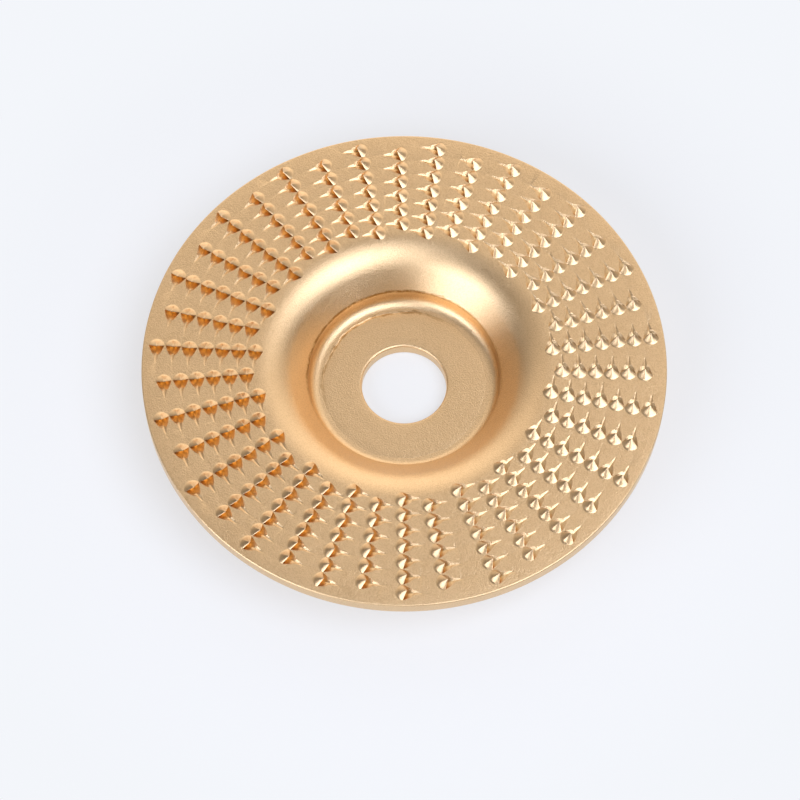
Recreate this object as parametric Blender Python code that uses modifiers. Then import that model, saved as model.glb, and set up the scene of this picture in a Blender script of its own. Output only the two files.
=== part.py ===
# Rasp-type carving disc for an angle grinder: one dished steel plate whose upper face
# carries radial rows of punched teeth. Metres, +Z up, toothed face up.
# The origin is the centre of the hub's back face, which is what the disc stands on.

import math

import bmesh
import bpy
from mathutils import Matrix, Vector

# Plate
DISC_DIAMETER = 0.0980
SHEET = 0.0028              # thickness of the pressed sheet
RIM_ROUND = 0.0005          # rounding of the rim's edges

# Dished hub
BORE_DIAMETER = 0.0160
BORE_ROUND = 0.0005         # rounding of the bore's upper edge
HUB_DEPTH = 0.0093          # toothed face down to the clamping face
LAND_RADIUS = 0.0165        # flat clamping face around the bore
LAND_FILLET = 0.0015        # clamping face into the cup around it
CUP_HEIGHT = 0.0033         # clamping face up to the crease between cup and dish
CUP_ANGLE = math.radians(86.0)      # cup wall against the plate
DISH_ANGLE = math.radians(47.5)     # dish wall against the plate
SHOULDER_RADIUS = 0.0061    # dish wall into the toothed face

# Rows of teeth
ROW_COUNT = 38
FIRST_ROW = math.radians(170.1)     # clockwise from +Y, seen from the toothed face
CLOSING_GAP = math.radians(11.8)    # the wider step between the last row and the first
TOOTH_PITCH = 0.00308       # along a row
RIM_MARGIN = 0.0026         # rim to the outermost tooth's middle

# One punched tooth, along its cutting direction
CORNER_OFFSET = 0.0006      # the tooth's two corners past the row's radial line
FLARE_LENGTH = 0.0021       # tail of the pit to the corners
NOSE_LENGTH = 0.0019        # corners to the back of the tooth's foot
PIT_DEPTH = 0.00075
PIT_LEAD = 0.0003           # deepest point past the corners, under the tooth
POINT_HEIGHT = 0.00115      # of the tooth, above the plate
POINT_LEAN = 0.0007         # of the tooth's point, from the corners out over the pit
SIDE_HEIGHT = 0.00015       # where neighbouring teeth meet
RIDGE = 0.00012             # metal left between neighbouring teeth
LIP_FOOT = 0.0003           # corner to the foot behind it

# Faceting
TURN_STEPS = 60
NOSE_STEPS = 6
WIDE_ARC_STEPS = 6
FILLET_STEPS = 4
EDGE_STEPS = 2
SMOOTH_ANGLE = math.radians(35.0)
SEAM_WELD = 0.00001         # joins the turned plate's first and last section

# Finish
PLATE_GOLD = (0.60, 0.39, 0.20, 1.0)
TOOTH_GOLD = (0.68, 0.47, 0.26, 1.0)
PLATE_ROUGHNESS = 0.42
TOOTH_ROUGHNESS = 0.32

# Worked out from the sizes above
RIM_RADIUS = DISC_DIAMETER / 2
PLATE_TOP = SHEET + HUB_DEPTH
PLATE_BACK = HUB_DEPTH
ROW_STEP = (2 * math.pi - CLOSING_GAP) / (ROW_COUNT - 1)
TOOTH_HALF = (TOOTH_PITCH - RIDGE) / 2
CUP_RISE = CUP_HEIGHT - LAND_FILLET * (1 - math.cos(CUP_ANGLE))
CREASE_RADIUS = LAND_RADIUS + LAND_FILLET * math.sin(CUP_ANGLE) + CUP_RISE / math.tan(CUP_ANGLE)
WALL_RISE = HUB_DEPTH - CUP_HEIGHT - SHOULDER_RADIUS * (1 - math.cos(DISH_ANGLE))
WALL_RUN = WALL_RISE / math.tan(DISH_ANGLE) + SHOULDER_RADIUS * math.sin(DISH_ANGLE)
DISH_RADIUS = CREASE_RADIUS + WALL_RUN


def clear_scene():
    for item in list(bpy.data.objects):
        bpy.data.objects.remove(item, do_unlink=True)


def new_collection(name):
    group = bpy.data.collections.new(name)
    bpy.context.scene.collection.children.link(group)
    return group


def gold_steel(name, color, roughness):
    material = bpy.data.materials.new(name)
    material.use_nodes = True
    shader = material.node_tree.nodes["Principled BSDF"]
    shader.inputs["Base Color"].default_value = color
    shader.inputs["Roughness"].default_value = roughness
    shader.inputs["Metallic"].default_value = 1.0
    return material


def mesh_object(name, mesh, group):
    item = bpy.data.objects.new(name, mesh)
    group.objects.link(item)
    return item


def bmesh_to_mesh(form, name):
    bmesh.ops.recalc_face_normals(form, faces=form.faces)
    mesh = bpy.data.meshes.new(name)
    form.to_mesh(mesh)
    form.free()
    return mesh


def arc(center_r, center_z, radius, start, end, steps):
    """Points of a profile arc, with angles measured from +r towards +z."""
    points = []
    for step in range(steps + 1):
        angle = start + (end - start) * step / steps
        points.append((center_r + radius * math.cos(angle), center_z + radius * math.sin(angle)))
    return points


def plate_profile():
    """Closed section of the plate: rim, back, bore and toothed face in turn."""
    up = math.pi / 2
    rim = RIM_RADIUS - RIM_ROUND
    bore = BORE_DIAMETER / 2
    fillet_z = SHEET + LAND_FILLET
    shoulder_z = PLATE_TOP - SHOULDER_RADIUS
    back_shoulder = SHOULDER_RADIUS - SHEET
    back_fillet = LAND_FILLET + SHEET
    crease_z = SHEET + CUP_HEIGHT
    crease_lean = (CUP_ANGLE + DISH_ANGLE) / 2
    crease_sheet = SHEET / math.cos((CUP_ANGLE - DISH_ANGLE) / 2)
    points = arc(rim, PLATE_TOP - RIM_ROUND, RIM_ROUND, up, 0, EDGE_STEPS)
    points += arc(rim, PLATE_BACK + RIM_ROUND, RIM_ROUND, 0, -up, EDGE_STEPS)
    points += arc(DISH_RADIUS, shoulder_z, back_shoulder, up, up + DISH_ANGLE, FILLET_STEPS)
    points.append((CREASE_RADIUS + crease_sheet * math.sin(crease_lean),
                   crease_z - crease_sheet * math.cos(crease_lean)))
    points += arc(LAND_RADIUS, fillet_z, back_fillet, CUP_ANGLE - up, -up, FILLET_STEPS)
    points.append((bore, 0.0))
    points += arc(bore + BORE_ROUND, SHEET - BORE_ROUND, BORE_ROUND, 2 * up, up, EDGE_STEPS)
    points += arc(LAND_RADIUS, fillet_z, LAND_FILLET, -up, CUP_ANGLE - up, FILLET_STEPS)
    points.append((CREASE_RADIUS, crease_z))
    points += arc(DISH_RADIUS, shoulder_z, SHOULDER_RADIUS, up + DISH_ANGLE, up, WIDE_ARC_STEPS)
    return points


def turned_plate(name, group):
    points = plate_profile()
    mesh = bpy.data.meshes.new(name)
    edges = [(i, (i + 1) % len(points)) for i in range(len(points))]
    mesh.from_pydata([(r, 0.0, z) for r, z in points], edges, [])
    plate = mesh_object(name, mesh, group)
    turn = plate.modifiers.new("turn", "SCREW")
    turn.steps = TURN_STEPS
    turn.render_steps = TURN_STEPS
    turn.use_merge_vertices = True
    turn.merge_threshold = SEAM_WELD
    return plate


def punch_marks(name, offsets, group):
    """Cutter for the pits: at each tooth a wedge that deepens from its tail to below the tooth."""
    points = [Vector((CORNER_OFFSET + PIT_LEAD, 0.0, -PIT_DEPTH))]
    for height in (0.0, SIDE_HEIGHT):
        points.append(Vector((CORNER_OFFSET - FLARE_LENGTH, 0.0, height)))
        points.append(Vector((CORNER_OFFSET, TOOTH_HALF, height)))
        points.append(Vector((CORNER_OFFSET, -TOOTH_HALF, height)))
    form = bmesh.new()
    for offset in offsets:
        corners = [form.verts.new(offset @ point) for point in points]
        bmesh.ops.convex_hull(form, input=corners)
    item = mesh_object(name, bmesh_to_mesh(form, name), group)
    item.hide_render = True
    item.display_type = "WIRE"
    return item


def tooth_sections():
    """Three-cornered sections of one tooth, from side to side: pit edge, cutting edge and foot.

    The cutting edge climbs from each corner to a point that leans out over the pit."""
    sections = []
    for step in range(NOSE_STEPS + 1):
        angle = math.pi * (step / NOSE_STEPS - 0.5)
        across = TOOTH_HALF * math.sin(angle)
        climb = 1 - abs(math.sin(angle))
        height = SIDE_HEIGHT + (POINT_HEIGHT - SIDE_HEIGHT) * climb
        lean = POINT_LEAN * height / POINT_HEIGHT
        reach = LIP_FOOT + (NOSE_LENGTH - LIP_FOOT) * math.cos(angle)
        sections.append([Vector((CORNER_OFFSET, across, 0.0)),
                         Vector((CORNER_OFFSET - lean, across, height)),
                         Vector((CORNER_OFFSET + reach, across, 0.0))])
    return sections


def row_mesh(name, places, material):
    """One row of teeth: a loft from tooth to tooth. Neighbours share a foot behind their ridge."""
    form = bmesh.new()
    rings = []
    for place in places:
        for index, section in enumerate(tooth_sections()):
            ring = [form.verts.new((point.x, place + point.y, point.z)) for point in section]
            if rings and index == 0:
                form.verts.remove(ring[2])
                ring[2] = rings[-1][2]
                ring[2].co = (ring[1].co.x + LIP_FOOT, place - TOOTH_PITCH / 2, 0.0)
            rings.append(ring)
    for near, far in zip(rings, rings[1:]):
        for side in range(3):
            after = (side + 1) % 3
            corners = (near[side], near[after], far[after], far[side])
            form.faces.new(list(dict.fromkeys(corners)))
    form.faces.new(rings[0])
    form.faces.new(rings[-1])
    mesh = bmesh_to_mesh(form, name)
    mesh.materials.append(material)
    return mesh


def row_places(row):
    """Distances of a row's teeth from the axis, outwards from the dish.

    Every second row is set half a pitch in from the rim."""
    places = []
    place = RIM_RADIUS - RIM_MARGIN
    if row % 2 == 0:
        place -= TOOTH_PITCH / 2
    while place - TOOTH_HALF >= DISH_RADIUS:
        places.insert(0, place)
        place -= TOOTH_PITCH
    return places


def row_angle(row):
    return -(FIRST_ROW + row * ROW_STEP)


def tooth_offsets():
    """Where the punch strikes: one matrix for each tooth of every row."""
    offsets = []
    for row in range(ROW_COUNT):
        turn = Matrix.Rotation(row_angle(row), 4, "Z")
        for place in row_places(row):
            offsets.append(turn @ Matrix.Translation((0.0, place, PLATE_TOP)))
    return offsets


def finished_plate(plate, cutter, material):
    """Cuts the pits, then shades the turned faces smooth between sharp edges."""
    cut = plate.modifiers.new("pits", "BOOLEAN")
    cut.operation = "DIFFERENCE"
    cut.solver = "EXACT"
    cut.object = cutter
    bpy.context.view_layer.update()
    evaluated = plate.evaluated_get(bpy.context.evaluated_depsgraph_get())
    mesh = bpy.data.meshes.new_from_object(evaluated)
    plate.modifiers.clear()
    plate.data = mesh
    mesh.shade_smooth()
    mesh.set_sharp_from_angle(angle=SMOOTH_ANGLE)
    mesh.materials.clear()
    mesh.materials.append(material)


def main():
    clear_scene()
    parts = new_collection("carving_disc")
    cutters = new_collection("carving_disc_cutters")
    axis = bpy.data.objects.new("disc_axis", None)
    parts.objects.link(axis)

    plate = turned_plate("disc_body", parts)
    plate.parent = axis
    cutter = punch_marks("punch_marks", tooth_offsets(), cutters)
    finished_plate(plate, cutter, gold_steel("plate_gold", PLATE_GOLD, PLATE_ROUGHNESS))

    tooth_gold = gold_steel("tooth_gold", TOOTH_GOLD, TOOTH_ROUGHNESS)
    rows = [row_mesh("short_row", row_places(0), tooth_gold),
            row_mesh("long_row", row_places(1), tooth_gold)]
    for row in range(ROW_COUNT):
        teeth = mesh_object("tooth_row_%02d" % (row + 1), rows[row % 2], parts)
        teeth.location.z = PLATE_TOP
        teeth.rotation_euler.z = row_angle(row)
        teeth.parent = axis


main()
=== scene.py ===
import math
import random

import bmesh
import bpy
from mathutils import Matrix, Vector
from mathutils.geometry import delaunay_2d_cdt


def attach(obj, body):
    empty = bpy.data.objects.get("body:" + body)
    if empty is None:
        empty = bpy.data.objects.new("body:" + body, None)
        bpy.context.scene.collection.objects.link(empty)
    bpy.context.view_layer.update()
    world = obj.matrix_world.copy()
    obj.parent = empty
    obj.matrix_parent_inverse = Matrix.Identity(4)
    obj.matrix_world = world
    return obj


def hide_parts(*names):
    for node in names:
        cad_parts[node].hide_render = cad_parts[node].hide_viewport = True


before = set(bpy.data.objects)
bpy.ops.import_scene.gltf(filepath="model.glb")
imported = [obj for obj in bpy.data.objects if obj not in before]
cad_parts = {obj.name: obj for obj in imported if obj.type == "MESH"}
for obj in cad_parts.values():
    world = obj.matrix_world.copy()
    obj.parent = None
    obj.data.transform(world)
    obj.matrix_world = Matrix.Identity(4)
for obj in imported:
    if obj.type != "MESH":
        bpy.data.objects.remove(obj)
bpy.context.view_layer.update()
scene = bpy.context.scene
scene.view_settings.view_transform = "Standard"
mm = 0.001
print("frame loaded:", len(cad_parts), "nodes")


# shader helpers

class Wire:  # one output socket that takes part in sums
    def __init__(self, paint, socket):
        self.paint = paint
        self.socket = socket

    def __add__(self, other):
        return self.paint.maths("ADD", self, other)

    def __radd__(self, other):
        return self.paint.maths("ADD", other, self)

    def __sub__(self, other):
        return self.paint.maths("SUBTRACT", self, other)

    def __rsub__(self, other):
        return self.paint.maths("SUBTRACT", other, self)

    def __mul__(self, other):
        return self.paint.maths("MULTIPLY", self, other)

    def __rmul__(self, other):
        return self.paint.maths("MULTIPLY", other, self)


class Paint:  # one node tree and the way nodes get into it
    def __init__(self, tree):
        self.tree = tree
        tree.nodes.clear()

    def add(self, kind, settings=None, sockets=None, out=0):
        node = self.tree.nodes.new(kind)
        for name, value in (settings or {}).items():
            setattr(node, name, value)
        for name, value in (sockets or {}).items():
            if isinstance(value, Wire):
                self.tree.links.new(value.socket, node.inputs[name])
            else:
                node.inputs[name].default_value = value
        return Wire(self, node.outputs[out]) if len(node.outputs) else node

    def maths(self, operation, first, second=0.0):
        return self.add("ShaderNodeMath", {"operation": operation}, {0: first, 1: second})

    def between(self, value, low, high):  # 0 below low, 1 above high, smooth between
        return self.add("ShaderNodeMapRange", {"interpolation_type": "SMOOTHSTEP"},
                        {"Value": value, "From Min": low, "From Max": high})

    def tint(self, amount, first, second):
        return self.add("ShaderNodeMix", {"data_type": "RGBA"}, {0: amount, 6: first, 7: second}, out=2)

    def noise(self, spot, scale, detail=2.0, rough=0.5):
        return self.add("ShaderNodeTexNoise", {"noise_dimensions": "3D"},
                        {"Vector": spot, "Scale": scale, "Detail": detail, "Roughness": rough})


# gold coat

goldCoat = {
    "plate": (0.82, 0.580, 0.328, 1.0),
    "dull": (0.66, 0.448, 0.240, 1.0),
    # painted reflection: the more orange gold given to the pits, standing in for the coat mirroring itself
    # there
    "deep": (0.82, 0.565, 0.258, 1.0),
    "bright": (0.88, 0.67, 0.42, 1.0),
    # brown for the lines at the crease and the land's edge: painted shade, partly also the press's own
    # marks
    "markShade": (0.36, 0.19, 0.060, 1.0),
    "toothTone": (0.50, 0.36, 0.22, 1.0),
    "roughness": 0.285,
    "grainSize": 0.25 * mm,
    "grainLift": 0.075 * mm,
    "peelSize": 0.9 * mm,
    "cloudScale": 90.0,
    "speckScale": 5200.0,
    "pitTop": (-0.60 * mm, -0.08 * mm),    # heights and radii between which a colour comes or goes
    "pitFloor": (-1.7 * mm, -1.4 * mm),
    "pitInner": (26.3 * mm, 26.7 * mm),
    "pitOuter": (48.2 * mm, 48.5 * mm),
    "toothTop": (0.25 * mm, 1.05 * mm),
}

# brown lines at the crease and on the land: partly marks that the press left, partly painted shade,
# strongest on the far left
markShadeLines = {
    "ragScale": 420.0,
    "breakScale": 900.0,
    "farLeft": (2 * mm, 17 * mm),
    "creaseRag": 0.9 * mm,
    "creaseWidth": (0.12 * mm, 0.42 * mm),
    "creaseFront": (19.6 * mm, 20.2 * mm),     # the same height on the back lies further out
    "landRag": 1.4 * mm,
    "landWidth": (0.10 * mm, 0.42 * mm),
    "landLevel": (0.3 * mm, 0.5 * mm),
    "landShare": 0.75,
}


# painted shade: darker brown along the crease and the coined edge of the land, strongest on the far left,
# partly also marks that the press left
def pressMarkShade(paint, spot, x, y, height, radius):
    marks = markShadeLines
    ragged = paint.noise(spot, marks["ragScale"], 4.0, 0.65) - 0.5
    broken = paint.between(paint.noise(spot, marks["breakScale"]), 0.36, 0.56)
    farLeft = paint.between(y - x * 0.7, *marks["farLeft"])
    off = paint.maths("ABSOLUTE", height + creaseDrop + ragged * marks["creaseRag"])
    bend = (1 - paint.between(off, *marks["creaseWidth"])) * (0.22 + 0.75 * farLeft)
    bend = bend * (1 - paint.between(radius, *marks["creaseFront"]))
    off = paint.maths("ABSOLUTE", radius - pressedPlate["coinRadius"] * mm + ragged * marks["landRag"])
    above = paint.maths("ABSOLUTE", height + pressedPlate["hubDepth"] * mm)
    level = 1 - paint.between(above, *marks["landLevel"])
    land = (1 - paint.between(off, *marks["landWidth"])) * level * (0.4 + 0.6 * broken)
    land = land * farLeft * marks["landShare"]
    return paint.maths("MAXIMUM", bend * (0.45 + 0.55 * broken), land)


def goldMaterial(name, onTeeth):  # the last argument is 0 for the plate and 1 for the teeth, which come out duller and darker brown towards their tops
    material = bpy.data.materials.new(name)
    material.use_nodes = True
    paint = Paint(material.node_tree)
    spot = paint.add("ShaderNodeTexCoord", out=3)
    x, y, z = [paint.add("ShaderNodeSeparateXYZ", sockets={0: spot}, out=axis) for axis in range(3)]
    height = z - plateTop
    radius = paint.maths("SQRT", x * x + y * y)

    grain = paint.noise(spot, 1 / goldCoat["grainSize"], 3.0, 0.6)
    peel = paint.noise(spot, 1 / goldCoat["peelSize"])
    clouds = paint.noise(spot, goldCoat["cloudScale"], 3.0, 0.55)
    specks = paint.between(paint.noise(spot, goldCoat["speckScale"], 1.0), 0.66, 0.74)

    # painted reflection: inside the pits the coat takes the more orange deep gold that it would mirror
    # into itself
    deep = 1 - paint.between(height, *goldCoat["pitTop"])
    deep = deep * paint.between(height, *goldCoat["pitFloor"])     # pits only, not the back,
    deep = deep * paint.between(radius, *goldCoat["pitInner"])     # the dish
    deep = deep * (1 - paint.between(radius, *goldCoat["pitOuter"]))   # or the rim
    # the teeth turn a duller, darker brown towards their tops
    high = paint.between(height, *goldCoat["toothTop"]) * onTeeth
    hollow = 1 - paint.between(grain, 0.34, 0.60)
    dull = hollow * (0.6 - 0.2 * onTeeth) + (clouds - 0.5) * 0.4 + 0.3 * onTeeth
    base = paint.tint(dull, goldCoat["plate"], goldCoat["dull"])
    base = paint.tint(deep, base, goldCoat["deep"])
    base = paint.tint(high * 0.55, base, goldCoat["toothTone"])
    base = paint.tint(specks * 0.4 * (1 - deep), base, goldCoat["bright"])
    if not onTeeth:
        # painted shade along the crease and the land's edge, partly press marks
        base = paint.tint(pressMarkShade(paint, spot, x, y, height, radius), base, goldCoat["markShade"])

    rough = goldCoat["roughness"] + (grain - 0.5) * 0.02
    lift = (grain + peel * 0.15) * (1 - paint.maths("MAXIMUM", deep, 0.7 * onTeeth))
    normal = paint.add("ShaderNodeBump", sockets={"Strength": 0.9, "Distance": goldCoat["grainLift"],
                                                   "Height": lift})
    coat = paint.add("ShaderNodeBsdfPrincipled", sockets={
        "Base Color": base, "Metallic": 1.0, "Roughness": rough, "Normal": normal})
    paint.add("ShaderNodeOutputMaterial", sockets={"Surface": coat})
    return material


# pressed plate, sizes in mm

pressedPlate = {
    "rimRadius": 49.0,
    "sheet": 2.8,
    "rimRound": 0.28,
    "boreRadius": 8.0,
    "boreRound": 0.5,
    "hubDepth": 9.3,
    "landRadius": 15.95,
    "landFillet": 2.1,
    "cupHeight": 3.3,      # clamping face up to the crease
    "cupAngle": 86.0,
    "wallAngle": 46.5,
    "shoulder": 9.2,
    "ringInner": 26.25,    # where the turned dish hands over to the punched ring
    "creaseDepth": 0.09,   # fine line that the press left between cup and dish
    "coinRadius": 15.4,    # ragged edge of the flattened clamping face
    "coinDepth": 0.07,
    "coinFacing": (128, 38),   # degrees: where that edge is plainest, and how far it stays so
    "landSteps": (10.5, 13.5),
    "backSteps": (6, 14),
    "turnSteps": 240,
    "weld": 0.002,
    "sharp": 13,           # degrees: a sharper edge is shaded hard
}
plateTop = (pressedPlate["sheet"] + pressedPlate["hubDepth"]) * mm
creaseDrop = (pressedPlate["hubDepth"] - pressedPlate["cupHeight"]) * mm

toothRows = {
    "count": 38,
    "first": 170.1,        # degrees clockwise from the far side
    "closingGap": 11.8,
    "pitch": 3.08,
    "outermost": 46.4,     # radius of a long row's last tooth
    "long": 7,
    "short": 6,
    "place": (-0.05, 0.05),    # how far one blow may differ from the next
    "slide": (-0.07, 0.07),
    "yaw": (-3.5, 3.5),
    "tall": (0.93, 1.05),
    "wide": (0.97, 1.015),
    "tail": (0.9, 1.08),
    "seed": 38,
}

punchedPit = {
    "tailStart": -2.9,
    "tailHalf": (0.15, 0.48),
    "flareStart": -1.25,       # the narrow tail opens here
    "flare": 0.62,
    "cornerAt": 0.6,
    "cornerHalf": 1.46,
    "tailDepth": 0.27,
    "tailDrop": 0.8,
    "depth": 0.85,
    "drop": 1.8,               # how late the floor falls away towards the tooth
    "flat": (1.2, 2.1),        # how flat the floor is between its walls, in the tail and at the tooth
    "undercut": 0.33,          # how far the floor runs in under the tooth
    "hollow": 0.10,            # how far the brim bows in at the middle
    "rise": (0.3, 0.65, 1.0),  # steps up the steep end
    "along": (-2.9, -2.84, -2.7, -2.5, -2.2, -1.9, -1.6, -1.35, -1.25, -1.2, -1.12, -1.0, -0.85, -0.65,
              -0.4, -0.1, 0.2, 0.42, 0.6),
    "across": (-1.0, -0.96, -0.90, -0.80, -0.6, -0.3, 0.0, 0.3, 0.6, 0.80, 0.90, 0.96, 1.0),
}

raisedTooth = {
    "point": (-0.12, 1.15),    # along and up: the point stands out over the pit
    "corner": (0.6, 1.48, 0.06),
    "foot": (0.10, 1.38, 1.75),    # start behind the corners, length and how square its outline is
    "dome": (0.74, 0.867, 1.25),   # where the rounded back turns out into the plate, reach, roundness
    "peak": 1.1,               # how much steeper the flanks get towards the ridge
    "ridge": 0.04,             # how blunt the ridge is
    "bow": 0.06,               # how hollow the face over the pit is
    "skirt": 0.03,
    "sunk": 0.06,
    "sharp": 20,
    "face": (0.0, 0.3, 0.6, 0.85, 0.97),
    "across": (-1.0, -0.96, -0.88, -0.77, -0.64, -0.5, -0.37, -0.25, -0.14, -0.05, 0.0,
               0.05, 0.14, 0.25, 0.37, 0.5, 0.64, 0.77, 0.88, 0.96, 1.0),
    "back": (0.05, 0.15, 0.30, 0.45, 0.60, 0.72, 0.80, 0.86, 0.91, 0.95, 0.98),
}


def arcPoints(middle, radius, start, end, steps):
    points = []
    for step in range(steps + 1):
        angle = math.radians(start + (end - start) * step / steps)
        points.append((middle[0] + radius * math.cos(angle), middle[1] + radius * math.sin(angle)))
    return points


def sway(angle, waves):  # how far a line wanders round the hub, in mm
    return sum(size * math.sin(count * angle + start) for size, count, start in waves)


def creaseSway(angle):
    return sway(angle, ((0.07, 3, 1.1), (0.05, 8, 0.4), (0.03, 21, 0.0)))


def coinSway(angle):
    return sway(angle, ((0.10, 6, 0.5), (0.08, 13, 2.0), (0.04, 29, 0.0)))


def coinMark(angle):  # the coined edge is plain on the far left and fades elsewhere
    middle, spread = pressedPlate["coinFacing"]
    turn = (math.degrees(angle) - middle + 180) % 360 - 180
    return 0.25 + 0.75 * math.exp(-(turn / spread) ** 2)


def hubForm(size):  # the crease, and the radius at which the flat ring starts to bend down
    fillet, shoulder = size["landFillet"], size["shoulder"]
    cup, wall = math.radians(size["cupAngle"]), math.radians(size["wallAngle"])
    cupRise = size["cupHeight"] - fillet * (1 - math.cos(cup))
    radius = size["landRadius"] + fillet * math.sin(cup) + cupRise / math.tan(cup)
    wallRise = size["hubDepth"] - size["cupHeight"] - shoulder * (1 - math.cos(wall))
    dish = radius + wallRise / math.tan(wall) + shoulder * math.sin(wall)
    return (radius, size["sheet"] + size["cupHeight"]), dish


crease, dishStart = hubForm(pressedPlate)


def settled(x, y):  # how far the shoulder has dropped below the flat ring, in mm
    reach = max(0.0, dishStart - math.hypot(x, y))
    return pressedPlate["shoulder"] - math.sqrt(pressedPlate["shoulder"] ** 2 - reach ** 2)


def plateProfile(size):  # radius, height and press mark, from the rim round the back to the dish
    sheet, depth = size["sheet"], size["hubDepth"]
    fillet, shoulder = size["landFillet"], size["shoulder"]
    cup, wall = math.radians(size["cupAngle"]), math.radians(size["wallAngle"])
    top = sheet + depth
    rim = size["rimRadius"] - size["rimRound"]
    shoulderMid = (dishStart, top - shoulder)
    filletMid = (size["landRadius"], sheet + fillet)
    bore, edge = size["boreRadius"], size["boreRound"]
    points = arcPoints((rim, top - size["rimRound"]), size["rimRound"], 90, 0, 9)
    points += arcPoints((rim, depth + size["rimRound"]), size["rimRound"], 0, -90, 9)
    points += [(rim - step, depth) for step in size["backSteps"]]
    points += arcPoints(shoulderMid, shoulder - sheet, 90, 90 + size["wallAngle"], 14)
    skew = sheet / math.cos((cup - wall) / 2)
    lean = (cup + wall) / 2
    corner = (crease[0] + skew * math.sin(lean), crease[1] - skew * math.cos(lean))
    points.append((corner[0] + 0.6 * math.cos(wall), corner[1] + 0.6 * math.sin(wall)))
    points.append((corner[0] + 0.08 * math.sin(lean), corner[1] - 0.08 * math.cos(lean)))
    points.append((corner[0] - 0.6 * math.cos(cup), corner[1] - 0.6 * math.sin(cup)))
    points += arcPoints(filletMid, fillet + sheet, size["cupAngle"] - 90, -90, 14)
    points += arcPoints((bore + edge, edge), edge, -90, -180, 8)
    points += arcPoints((bore + edge, sheet - edge), edge, 180, 90, 8)
    points += [(r, sheet) for r in size["landSteps"]]
    points = [(r, z, None) for r, z in points]
    for away, deep in ((-0.22, 0), (-0.07, 0.6), (0.0, 1.0), (0.10, 0.45), (0.22, 0)):
        points.append((size["coinRadius"] + away, sheet, ("coin", deep * size["coinDepth"])))
    points += [(r, z, None) for r, z in arcPoints(filletMid, fillet, -90, size["cupAngle"] - 90, 12)]
    for away, deep in ((-0.30, 0), (-0.10, 0.5), (0.0, 1.0), (0.10, 0.4), (0.30, 0)):
        slope = cup if away < 0 else wall
        r, z = crease[0] + away * math.cos(slope), crease[1] + away * math.sin(slope)
        points.append((r, z, ("crease", deep)))
    last = math.degrees(math.asin((dishStart - size["ringInner"]) / shoulder))
    dish = arcPoints(shoulderMid, shoulder, 90 + size["wallAngle"], 90 + last, 30)
    points += [(r, z, None) for r, z in dish]
    return points, rim


def pressedSpot(size, r, z, mark, angle):  # one point of the turned profile, with the press marks
    if mark is not None:
        kind, deep = mark
        if kind == "coin":
            r += coinSway(angle)
            z -= deep * coinMark(angle)
        else:
            drift = creaseSway(angle)
            lean = math.radians((size["cupAngle"] + size["wallAngle"]) / 2)
            sink = deep * size["creaseDepth"] * (0.75 + 0.25 * math.sin(5 * angle))
            r += drift * math.cos(lean) * 0.6 + sink * math.sin(lean)
            z += drift * math.sin(lean) * 0.6 - sink * math.cos(lean)
    return (r * mm * math.cos(angle), r * mm * math.sin(angle), z * mm)


def pitOpening(u):  # 0 at the end of the tail, 1 at the tooth
    pit = punchedPit
    return max(0.0, (u - pit["flareStart"]) / (pit["cornerAt"] - pit["flareStart"]))


def tailRun(u):  # 0 at the tail's tip, 1 where the pit opens
    pit = punchedPit
    return min(1.0, (u - pit["tailStart"]) / (pit["flareStart"] - pit["tailStart"]))


def pitHalf(u):
    pit = punchedPit
    thin, wide = pit["tailHalf"]
    tail = thin + (wide - thin) * tailRun(u)
    return tail + (pit["cornerHalf"] - wide) * pitOpening(u) ** pit["flare"]


def pitPoint(u, t):  # floor of the pit: a shallow tail that opens and drops away under the tooth
    pit = punchedPit
    opening = pitOpening(u)
    depth = pit["tailDepth"] * tailRun(u) ** pit["tailDrop"]
    depth += (pit["depth"] - pit["tailDepth"]) * opening ** pit["drop"]
    under = pit["undercut"] * opening ** 4 * (1 - abs(t) ** 1.4)
    flat = pit["flat"][0] + (pit["flat"][1] - pit["flat"][0]) * opening
    return (u + under, t * pitHalf(u), -depth * (1 - abs(t) ** flat))


def pitBrim(t):  # edge between the pit and the face of the tooth
    pit = punchedPit
    return (pit["cornerAt"] - pit["hollow"] * (1 - t * t), t * pit["cornerHalf"])


def pitGrid():
    pit = punchedPit
    rows = [[pitPoint(u, t) for t in pit["across"]] for u in pit["along"]]
    foot = rows[-1]
    brim = [pitBrim(t) + (0.0,) for t in pit["across"]]
    for share in pit["rise"]:
        rows.append([tuple(a + (b - a) * share for a, b in zip(low, high))
                     for low, high in zip(foot, brim)])
    return rows


def backHeight(share):  # 1 at the cutting edge, 0 at the foot
    turn, reach, power = raisedTooth["dome"]
    if share <= turn:
        return 1 - (share / reach) ** power
    return (1 - (turn / reach) ** power) * ((1 - share) / (1 - turn)) ** 2


def toothRing(t):  # one upright section of a tooth, from the pit's brim over the edge to the foot
    tooth = raisedTooth
    soft = tooth["ridge"]
    side = (math.sqrt(t * t + soft * soft) - soft) / (math.sqrt(1 + soft * soft) - soft)
    corner, across, low = tooth["corner"]
    brim = pitBrim(t)
    edge = (tooth["point"][0] + (corner - tooth["point"][0]) * side, t * across,
            low + (tooth["point"][1] - low) * (1 - side) ** tooth["peak"])
    start, length, square = tooth["foot"]
    foot = (corner + start + length * (1 - side ** square) ** (1 / square), t * (across + tooth["skirt"]))
    ring = [(brim[0] + tooth["skirt"], brim[1], -tooth["sunk"])]
    for share in tooth["face"]:
        bow = tooth["bow"] * math.sin(math.pi * share) * (1 - side)
        ring.append((brim[0] + (edge[0] - brim[0]) * share + bow, brim[1] + (edge[1] - brim[1]) * share,
                     edge[2] * share))
    for share in tooth["back"]:
        ring.append((edge[0] + (foot[0] - edge[0]) * share, edge[1] + (foot[1] - edge[1]) * share,
                     edge[2] * backHeight(share)))
    ring.append(foot + (-0.004,))
    ring.append((foot[0] - 0.02, foot[1] * 0.99, -tooth["sunk"]))
    return ring


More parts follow.
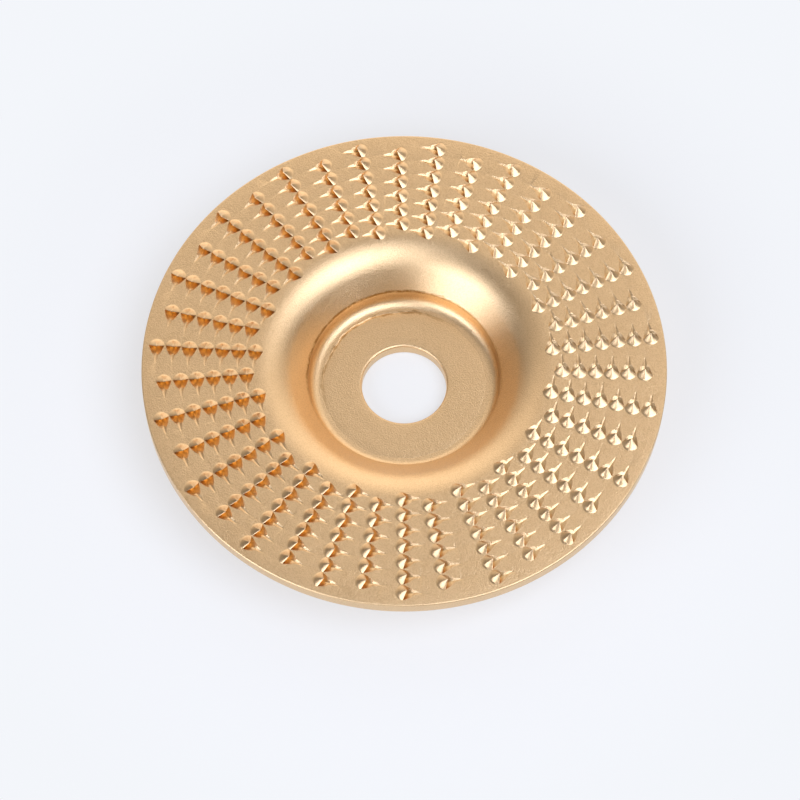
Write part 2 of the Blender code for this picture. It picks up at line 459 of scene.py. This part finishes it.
class Punch:  # one blow: where it fell and how it differs from the next
    def __init__(self, row, place, dice):
        self.turn = math.radians(toothRows["first"] + row * rowStep)
        self.place = place + dice.uniform(*toothRows["place"])
        self.slide = dice.uniform(*toothRows["slide"])
        self.yaw = math.radians(dice.uniform(*toothRows["yaw"]))
        self.tall = dice.uniform(*toothRows["tall"])
        self.wide = dice.uniform(*toothRows["wide"])
        self.tail = dice.uniform(*toothRows["tail"])

    def put(self, point):  # tooth to plate, in mm
        u, v, z = point
        v *= self.wide
        if u < punchedPit["flareStart"]:
            u = punchedPit["flareStart"] + (u - punchedPit["flareStart"]) * self.tail
        s, c = math.sin(self.yaw), math.cos(self.yaw)
        u, v = u * c - v * s + self.slide, u * s + v * c + self.place
        s, c = math.sin(self.turn), math.cos(self.turn)
        x, y = u * c + v * s, -u * s + v * c
        return Vector((x, y, z * self.tall - settled(x, y)))


rowStep = (360 - toothRows["closingGap"]) / (toothRows["count"] - 1)
dice = random.Random(toothRows["seed"])
blows = []
for row in range(toothRows["count"]):
    number = toothRows["long"] if row % 2 else toothRows["short"]
    start = toothRows["outermost"] - (0 if row % 2 else toothRows["pitch"] / 2)
    blows.append([Punch(row, start - toothRows["pitch"] * i, dice) for i in range(number)])
print("punch marks:", sum(len(row) for row in blows))


def meshPiece(name, form, material):
    mesh = bpy.data.meshes.new(name)
    form.to_mesh(mesh)
    form.free()
    mesh.materials.append(material)
    piece = bpy.data.objects.new(name, mesh)
    scene.collection.objects.link(piece)
    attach(piece, "root")
    return piece


def gridFaces(form, rows):
    corners = [[form.verts.new(point) for point in row] for row in rows]
    for low, high in zip(corners, corners[1:]):
        for i in range(len(low) - 1):
            form.faces.new((low[i], low[i + 1], high[i + 1], high[i])).smooth = True


def markSharp(form, degrees):
    for line in form.edges:
        if len(line.link_faces) == 2 and line.calc_face_angle(0.0) > math.radians(degrees):
            line.smooth = False


def inside(loop, spot):
    hit = False
    for (ax, ay), (bx, by) in zip(loop, loop[1:] + loop[:1]):
        if (ay > spot.y) != (by > spot.y) and spot.x < ax + (bx - ax) * (spot.y - ay) / (by - ay):
            hit = not hit
    return hit


def makePlate(size):
    profile, rim = plateProfile(size)
    inner = size["ringInner"]
    top = size["sheet"] + size["hubDepth"]
    steps = size["turnSteps"]
    form = bmesh.new()
    turns = [2 * math.pi * i / steps for i in range(steps)]
    rings = [[form.verts.new(pressedSpot(size, r, z, mark, a)) for a in turns] for r, z, mark in profile]
    for low, high in zip(rings, rings[1:]):
        for i in range(steps):
            j = (i + 1) % steps
            form.faces.new((low[i], low[j], high[j], high[i])).smooth = True

    spots = []
    lines = []
    owners = []
    loops = []

    def fence(loop):  # one closed line that the flat ring has to keep
        first = len(spots)
        spots.extend(Vector((x, y)) for x, y in loop)
        owners.extend([len(loops)] * len(loop))
        loops.append(loop)
        lines.extend((first + i, first + (i + 1) % len(loop)) for i in range(len(loop)))

    fence([(rim * math.cos(a), rim * math.sin(a)) for a in turns])
    fence([(inner * math.cos(a), inner * math.sin(a)) for a in turns])
    template = pitGrid()
    steep = len(punchedPit["rise"])
    for row in blows:
        for blow in row:
            grid = [[blow.put(point) for point in line] for line in template]
            loop = grid[0][:0:-1]
            loop += [line[0] for line in grid[:-steep]]
            loop += grid[-1][1:-1]
            loop += [line[-1] for line in reversed(grid[1:-steep])]
            fence([(p.x, p.y) for p in loop])
            gridFaces(form, [[(p.x * mm, p.y * mm, (p.z + top) * mm) for p in line] for line in grid])
    pits = [loop for loop in loops[2:] if min(math.hypot(x, y) for x, y in loop) < dishStart + 0.3]
    for share in (0.2, 0.45, 0.7, 1.0):    # extra points let the shoulder bend between the pits
        reach = inner + (dishStart - inner) * share
        for a in turns[::2]:
            extra = Vector((reach * math.cos(a), reach * math.sin(a)))
            if not any(inside(loop, extra) for loop in pits):
                spots.append(extra)
                owners.append(-1)
    found, _, faces, sources, _, _ = delaunay_2d_cdt(spots, lines, [], 1, 1e-6)
    flat = [form.verts.new((p.x * mm, p.y * mm, (top - settled(p.x, p.y)) * mm)) for p in found]
    for face in faces:
        owner = {owners[sources[i][0]] for i in face}
        middle = sum((found[i] for i in face), Vector((0, 0))) / len(face)
        if len(owner) == 1 and not owner & {-1, 0} and inside(loops[owner.pop()], middle):
            continue                       # a pit or the open dish, not plate
        form.faces.new([flat[i] for i in face]).smooth = True
    bmesh.ops.remove_doubles(form, verts=form.verts, dist=size["weld"] * mm)
    bmesh.ops.recalc_face_normals(form, faces=form.faces)
    markSharp(form, size["sharp"])
    piece = meshPiece("pressed_plate", form, goldMaterial("goldPlate", 0.0))
    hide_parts("disc_body")
    print("plate:", len(piece.data.polygons), "faces")


def makeTeeth(index, row, material):
    form = bmesh.new()
    rings = [toothRing(t) for t in raisedTooth["across"]]
    for blow in row:
        sections = []
        for ring in rings:
            places = [blow.put(point) for point in ring]
            sections.append([form.verts.new((p.x * mm, p.y * mm, p.z * mm + plateTop)) for p in places])
        for near, far in zip(sections, sections[1:]):
            for i in range(len(near)):
                j = (i + 1) % len(near)
                form.faces.new((near[i], near[j], far[j], far[i])).smooth = True
        form.faces.new(sections[0])
        form.faces.new(sections[-1])
    bmesh.ops.recalc_face_normals(form, faces=form.faces)
    markSharp(form, raisedTooth["sharp"])
    name = "tooth_row_%02d" % (index + 1)
    piece = meshPiece("teeth_%02d" % (index + 1), form, material)
    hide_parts(name)


makePlate(pressedPlate)
toothGold = goldMaterial("goldTooth", 1.0)
for index, row in enumerate(blows):
    makeTeeth(index, row, toothGold)
print("rows of teeth:", len(blows))


# studio

studio = {
    "floor": (0.935, 0.918, 0.875, 1.0),
    "mottle": (0.92, 0.925, 0.94, 1.0),
    "floorHalf": 1.5,
    "backdrop": (0.90, 0.92, 0.96, 1.0),
    "glow": 0.58,          # share of the floor that shows the backdrop's own colour
    "fade": (0.058, 0.10),     # from here to here, in metres from the axis, the rest of it does too
    "wall": (0.97, 0.90, 0.84, 1.0),       # the room as the metal mirrors it
    "fill": 0.54,          # what the world adds to matt surfaces
    "room": 0.16,          # level of the dim room that the metal mirrors
    "panel": 1.31,         # the pale wall on the far side, added to it
    "panelMiddle": 0.08,   # its place and soft edges, on a ball of directions
    "panelFar": (-0.05, 0.25),
    "panelSide": (0.15, 1.15),
    "panelFoot": (0.05, 0.50),
    "panelHead": (0.64, 1.05),
    "footGlow": 0.25,
    "front": 0.26,         # and a paler patch behind the camera
    "frontMiddle": -0.08,
    "frontNear": (-0.40, -0.10),
    "frontSide": (0.25, 0.55),
    "lampColor": (0.91, 0.98, 1.16),
    "lamps": (             # name, direction to the lamp, distance, across, along, roll, radiance
        ("keyBox", (0.42, -0.295, 0.858), 0.80, 0.73, 0.81, 18, 3.1),
        ("sideBox", (-0.665, -0.595, 0.45), 0.80, 0.74, 0.80, 0, 3.0),
    ),
}


def directRays(paint):  # 1 for what the camera sees, straight, mirrored or through something
    rays = [paint.add("ShaderNodeLightPath", out=name)
            for name in ("Is Camera Ray", "Is Glossy Ray", "Is Transmission Ray")]
    return paint.maths("MINIMUM", rays[0] + rays[1] + rays[2], 1.0)


def makeFloor():
    material = bpy.data.materials.new("paleFloor")
    material.use_nodes = True
    paint = Paint(material.node_tree)
    spot = paint.add("ShaderNodeTexCoord", out=3)
    mottle = paint.noise(spot, 14.0)
    shade = paint.tint(mottle * 0.1, studio["floor"], studio["mottle"])
    matt = paint.add("ShaderNodeBsdfPrincipled", sockets={"Base Color": shade, "Roughness": 0.9,
                                                          "Specular IOR Level": 0.1})
    x, y = [paint.add("ShaderNodeSeparateXYZ", sockets={0: spot}, out=axis) for axis in range(2)]
    away = paint.between(paint.maths("SQRT", x * x + y * y), *studio["fade"])
    seen = directRays(paint) * (studio["glow"] + (1 - studio["glow"]) * away)
    pale = paint.add("ShaderNodeEmission", sockets={"Color": studio["backdrop"], "Strength": 1.0})
    both = paint.add("ShaderNodeMixShader", sockets={0: seen, 1: matt, 2: pale})
    paint.add("ShaderNodeOutputMaterial", sockets={"Surface": both})
    form = bmesh.new()
    bmesh.ops.create_grid(form, x_segments=8, y_segments=8, size=studio["floorHalf"])
    mesh = bpy.data.meshes.new("floor")
    form.to_mesh(mesh)
    form.free()
    mesh.materials.append(material)
    floor = bpy.data.objects.new("floor", mesh)
    scene.collection.objects.link(floor)


def makeWorld():
    world = bpy.data.worlds.new("paleRoom")
    scene.world = world
    world.use_nodes = True
    paint = Paint(world.node_tree)
    camera = paint.add("ShaderNodeLightPath", out="Is Camera Ray")
    seen = directRays(paint)
    way = paint.add("ShaderNodeTexCoord", out=0)
    x, y, z = [paint.add("ShaderNodeSeparateXYZ", sockets={0: way}, out=axis) for axis in range(3)]
    aside = paint.maths("ABSOLUTE", x - studio["panelMiddle"])
    panel = paint.between(y, *studio["panelFar"]) * (1 - paint.between(aside, *studio["panelSide"]))
    foot = studio["footGlow"] * (1 - paint.between(z, *studio["panelFoot"]))
    panel = panel * (1 + foot - paint.between(z, *studio["panelHead"]))
    aside = paint.maths("ABSOLUTE", x - studio["frontMiddle"])
    front = 1 - paint.between(y, *studio["frontNear"])
    front = front * (1 - paint.between(aside, *studio["frontSide"]))
    room = studio["room"] + studio["panel"] * panel + studio["front"] * front
    level = camera + (1 - camera) * room
    power = level * (studio["fill"] + seen * (1.0 - studio["fill"]))
    color = paint.tint(camera, studio["wall"], studio["backdrop"])
    sky = paint.add("ShaderNodeBackground", sockets={"Color": color, "Strength": power})
    paint.add("ShaderNodeOutputWorld", sockets={"Surface": sky})


def makeLamps():
    target = Vector((0, 0, plateTop))
    for name, way, distance, across, along, roll, radiance in studio["lamps"]:
        lamp = bpy.data.lights.new(name, "AREA")
        lamp.shape = "ELLIPSE"
        lamp.size = across
        lamp.size_y = along
        lamp.color = studio["lampColor"]
        lamp.energy = radiance * across * along * math.pi * math.pi / 4
        back = Vector(way).normalized()
        side = Vector((0, 1, 0)).cross(back).normalized()
        side = Matrix.Rotation(math.radians(roll), 3, back) @ side
        item = bpy.data.objects.new(name, lamp)
        item.matrix_world = Matrix((side, back.cross(side), back)).transposed().to_4x4()
        item.location = target + back * distance
        scene.collection.objects.link(item)


makeFloor()
makeWorld()
makeLamps()
print("studio set")


# camera

view = {
    "elevation": 63.4,
    "distance": 0.600,
    "lens": 144.8,
    "shift": (-0.00525, -0.0472),
}


def makeCamera():
    data = bpy.data.cameras.new("photoCamera")
    data.lens = view["lens"]
    data.sensor_width = 36.0
    data.shift_x, data.shift_y = view["shift"]
    data.clip_start = 0.01
    camera = bpy.data.objects.new("photoCamera", data)
    tilt = math.radians(view["elevation"])
    camera.location = (0, -view["distance"] * math.cos(tilt), plateTop + view["distance"] * math.sin(tilt))
    camera.rotation_euler = (math.pi / 2 - tilt, 0, 0)
    scene.collection.objects.link(camera)
    scene.camera = camera


makeCamera()
print("camera set")
